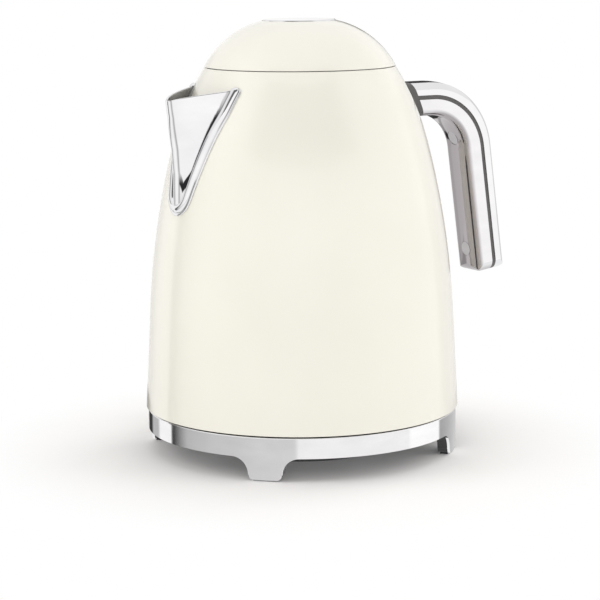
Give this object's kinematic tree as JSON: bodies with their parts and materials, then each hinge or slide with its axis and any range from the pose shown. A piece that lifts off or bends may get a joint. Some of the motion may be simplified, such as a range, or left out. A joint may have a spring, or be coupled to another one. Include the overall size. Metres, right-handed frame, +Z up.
{
  "type": "electric kettle",
  "caption": "Domed electric kettle with a triangular pouring spout, an open hook handle, a push-button lid and a low round base on flared feet that it turns on and lifts off.",
  "frame": {"origin": "kettle axis at the level of the foot pads", "axes": "+Z up, the spout points to -X and the handle to +X"},
  "size_m": [0.2301, 0.1816, 0.248],
  "materials": {
    "cream_paint": "gloss enamel",
    "polished_steel": "mirror polish",
    "satin_steel": "fine satin",
    "inner_steel": "satin",
    "dark_plastic": "fine grain",
    "black_plastic": "fine grain",
    "pale_plastic": "moulded",
    "black_rubber": "matt",
    "pale_silicone": "matt",
    "contact_brass": "bright",
    "aluminium_plate": "pressed",
    "spring_steel": "drawn wire",
    "screw_steel": "zinc plated",
    "clear_window": "clear"
  },
  "bodies": {
    "base": {"base_ring": "satin_steel", "base_tray": "black_plastic", "base_screws": "screw_steel", "foot_pad_1": "black_rubber", "foot_pad_2": "black_rubber", "foot_pad_3": "black_rubber", "foot_pad_4": "black_rubber", "centre_pad": "black_rubber", "base_bottom_cover": "black_plastic", "cord_drum": "black_plastic", "cord_grommet": "black_rubber", "base_socket": "black_plastic", "socket_contacts": "contact_brass"},
    "swivel": {"swivel_bush": "pale_plastic"},
    "kettle": {"kettle_body": "cream_paint", "bottom_cover": "black_plastic", "bottom_screws": "screw_steel", "switch_pin": "spring_steel", "rocker_pin": "spring_steel", "control_housing": "black_plastic", "connector_pins": "contact_brass", "bimetal_discs": "spring_steel", "heater_plate": "inner_steel", "plate_seal": "pale_silicone", "heat_spreader": "aluminium_plate", "heating_element": "aluminium_plate", "steam_tube": "pale_plastic", "steam_tube_seal": "pale_silicone", "switch_bezel": "dark_plastic", "window_frame": "dark_plastic", "window_gasket": "pale_silicone", "level_window": "clear_window", "spout": "polished_steel", "spout_trim": "polished_steel", "handle_outer_shell": "polished_steel", "handle_inner_shell": "polished_steel", "handle_screw_caps": "polished_steel", "handle_screws": "screw_steel", "handle_core": "dark_plastic", "handle_bracket": "inner_steel", "handle_bolts": "screw_steel", "lid_collar": "pale_plastic", "lid_hinge_pin": "spring_steel", "lid_catch_spring": "spring_steel", "lid_spring": "spring_steel"},
    "filter": {"filter_frame": "pale_plastic", "filter_mesh": "spring_steel"},
    "lid": {"lid_dome": "cream_paint", "lid_pan": "pale_plastic", "lid_steel_disc": "inner_steel", "lid_screws": "screw_steel", "lid_seal": "pale_silicone", "button_guide": "pale_plastic", "button_spring": "spring_steel", "latch_spring": "spring_steel"},
    "button": {"lid_button": "polished_steel"},
    "latch": {"latch_slide": "pale_plastic"},
    "switch": {"switch_lever": "polished_steel"},
    "rocker": {"contact_rocker": "pale_plastic"}
  },
  "joints": [
    {"name": "kettle_swivel", "type": "hinge", "parent": "base", "child": "swivel", "pos_m": [0, 0, 0.02], "axis": [0, 0, 1], "continuous": true},
    {"name": "kettle_lift", "type": "slide", "parent": "swivel", "child": "kettle", "axis": [0, 0, 1], "range_m": [0, 0.12]},
    {"name": "lid_hinge", "type": "hinge", "parent": "kettle", "child": "lid", "pos_m": [0.05685, 0, 0.2216], "axis": [0, 1, 0], "range_deg": [0, 80], "deforming": ["lid_catch_spring", "lid_spring"]},
    {"name": "button_press", "type": "slide", "parent": "lid", "child": "button", "axis": [0, 0, -1], "range_m": [0, 0.003], "stiffness_N_per_m": 500, "springref_m": -0.004, "deforming": ["button_spring"]},
    {"name": "latch_slide", "type": "slide", "parent": "lid", "child": "latch", "axis": [1, 0, 0], "range_m": [0, 0.003], "deforming": ["latch_spring"]},
    {"name": "switch_lever", "type": "hinge", "parent": "kettle", "child": "switch", "pos_m": [0.08, 0, 0.034], "axis": [0, 1, 0], "range_deg": [0, 14]},
    {"name": "contact_rocker", "type": "hinge", "parent": "kettle", "child": "rocker", "pos_m": [0.046, 0, 0.035], "axis": [0, 1, 0], "range_deg": [-21, 0]},
    {"name": "filter_slide", "type": "slide", "parent": "kettle", "child": "filter", "axis": [0.8, 0, 0.6], "range_m": [0, 0.012]}
  ],
  "couplings": [
    {"joint": "latch_slide", "follows": "button_press", "ratio": 1},
    {"joint": "contact_rocker", "follows": "switch_lever", "ratio": -1.5}
  ]
}
